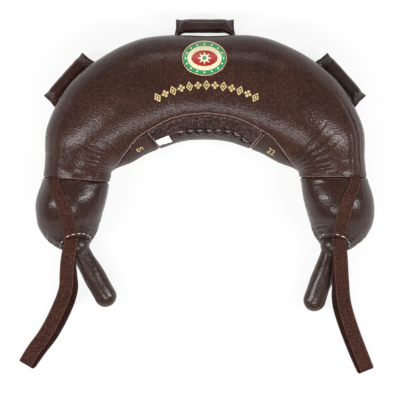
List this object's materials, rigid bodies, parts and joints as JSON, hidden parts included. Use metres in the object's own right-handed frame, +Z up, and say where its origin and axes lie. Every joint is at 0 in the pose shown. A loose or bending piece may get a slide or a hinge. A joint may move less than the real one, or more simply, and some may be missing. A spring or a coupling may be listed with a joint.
{
  "type": "bulgarian bag",
  "caption": "Stuffed leather crescent with end handles, webbing hand loops and top handles, used as a swinging training weight.",
  "frame": {"origin": "bottom centre of the bounding box, with the bag lying on its back", "axes": "+Z up out of the front panel, +Y towards the top of the crescent, X across the two pouches"},
  "size_m": [0.6248, 0.626, 0.151],
  "materials": {
    "leather": "semi-gloss, fine grain",
    "gusset_leather": "satin, fine grain",
    "handle_leather": "semi-gloss",
    "webbing": "woven, matt",
    "wool": "loose wool, matt",
    "sand_bag": "canvas filled with sand, matt",
    "rope": "laid rope, matt",
    "lace": "satin",
    "label": "woven, matt"
  },
  "bodies": {
    "bag": {"front_panel": "leather", "back_panel": "leather", "gusset_left": "gusset_leather", "gusset_right": "gusset_leather", "lacing_flap_front": "gusset_leather", "lacing_flap_back": "gusset_leather", "lace": "lace", "label_tag": "label", "sand_bag_arch": "sand_bag", "wool_wadding_arch": "wool", "pouch_front_left": "leather", "pouch_back_left": "leather", "sand_bag_left": "sand_bag", "wool_wadding_left": "wool", "strap_run_left": "webbing", "pouch_front_right": "leather", "pouch_back_right": "leather", "sand_bag_right": "sand_bag", "wool_wadding_right": "wool", "strap_run_right": "webbing"},
    "horn_left": {"horn_leather_left": "handle_leather", "horn_core_left": "wool"},
    "loop_left": {"strap_loop_left": "webbing"},
    "horn_right": {"horn_leather_right": "handle_leather", "horn_core_right": "wool"},
    "loop_right": {"strap_loop_right": "webbing"},
    "handle_left": {"grip_leather_left": "handle_leather", "grip_rope_left": "rope"},
    "handle_centre": {"grip_leather_centre": "handle_leather", "grip_rope_centre": "rope"},
    "handle_right": {"grip_leather_right": "handle_leather", "grip_rope_right": "rope"}
  },
  "joints": [
    {"name": "horn_left_swing", "type": "hinge", "parent": "bag", "child": "horn_left", "pos_m": [-0.21115, -0.0826, 0.04605], "axis": [0, 0, 1], "range_deg": [0, 22], "stiffness_Nm_per_rad": 3},
    {"name": "horn_right_swing", "type": "hinge", "parent": "bag", "child": "horn_right", "pos_m": [0.24078, -0.0826, 0.04605], "axis": [0, 0, -1], "range_deg": [0, 22], "stiffness_Nm_per_rad": 3},
    {"name": "handle_left_lift", "type": "hinge", "parent": "bag", "child": "handle_left", "pos_m": [-0.213, 0.19761, 0.04961], "axis": [0.6658, 0.7462, 0], "range_deg": [0, 72]},
    {"name": "handle_centre_lift", "type": "hinge", "parent": "bag", "child": "handle_centre", "pos_m": [0.01481, 0.28399, 0.0511], "axis": [1, 0, 0], "range_deg": [0, 72]},
    {"name": "handle_right_lift", "type": "hinge", "parent": "bag", "child": "handle_right", "pos_m": [0.24262, 0.19761, 0.04961], "axis": [0.6658, -0.7462, 0], "range_deg": [0, 72]},
    {"name": "loop_left_lift", "type": "hinge", "parent": "bag", "child": "loop_left", "pos_m": [-0.21887, -0.07177, 0.07289], "axis": [-0.9397, -0.342, 0], "range_deg": [0, 100]},
    {"name": "loop_right_lift", "type": "hinge", "parent": "bag", "child": "loop_right", "pos_m": [0.24849, -0.07177, 0.07289], "axis": [-0.9397, 0.342, 0], "range_deg": [0, 100]}
  ]
}
